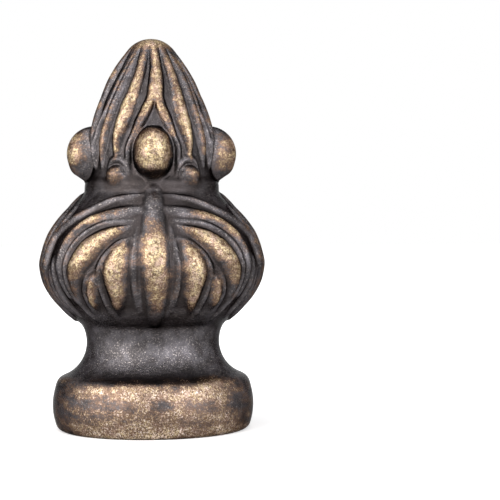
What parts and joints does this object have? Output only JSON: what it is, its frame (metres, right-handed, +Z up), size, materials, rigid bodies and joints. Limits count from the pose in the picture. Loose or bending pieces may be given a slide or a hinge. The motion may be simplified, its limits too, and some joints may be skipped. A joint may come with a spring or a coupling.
{
  "type": "lamp finial",
  "caption": "Cast lamp finial with a bead-ringed bud over a leaf-carved bulb on a round foot, and a threaded brass bush in its base for the lamp's stud.",
  "frame": {"origin": "middle of the underside, where the foot's ring and the bush's flange rest", "axes": "+Z up along the stud's axis, -Y towards the front palmette of the bulb, +X to its right as seen from the front"},
  "size_m": [0.0192, 0.0194, 0.0329],
  "materials": {
    "antique_casting": "dark antique bronze patina, rubbed back to bright gold on the raised carving",
    "turned_brass": "bright bar-turned brass with fine tool rings"
  },
  "bodies": {
    "bush": {"threaded_bush": "turned_brass"},
    "casting": {"finial_casting": "antique_casting"}
  },
  "joints": [
    {"name": "casting_unscrew", "type": "slide", "parent": "bush", "child": "casting", "axis": [0, 0, 1], "range_m": [0, 0.009]}
  ]
}
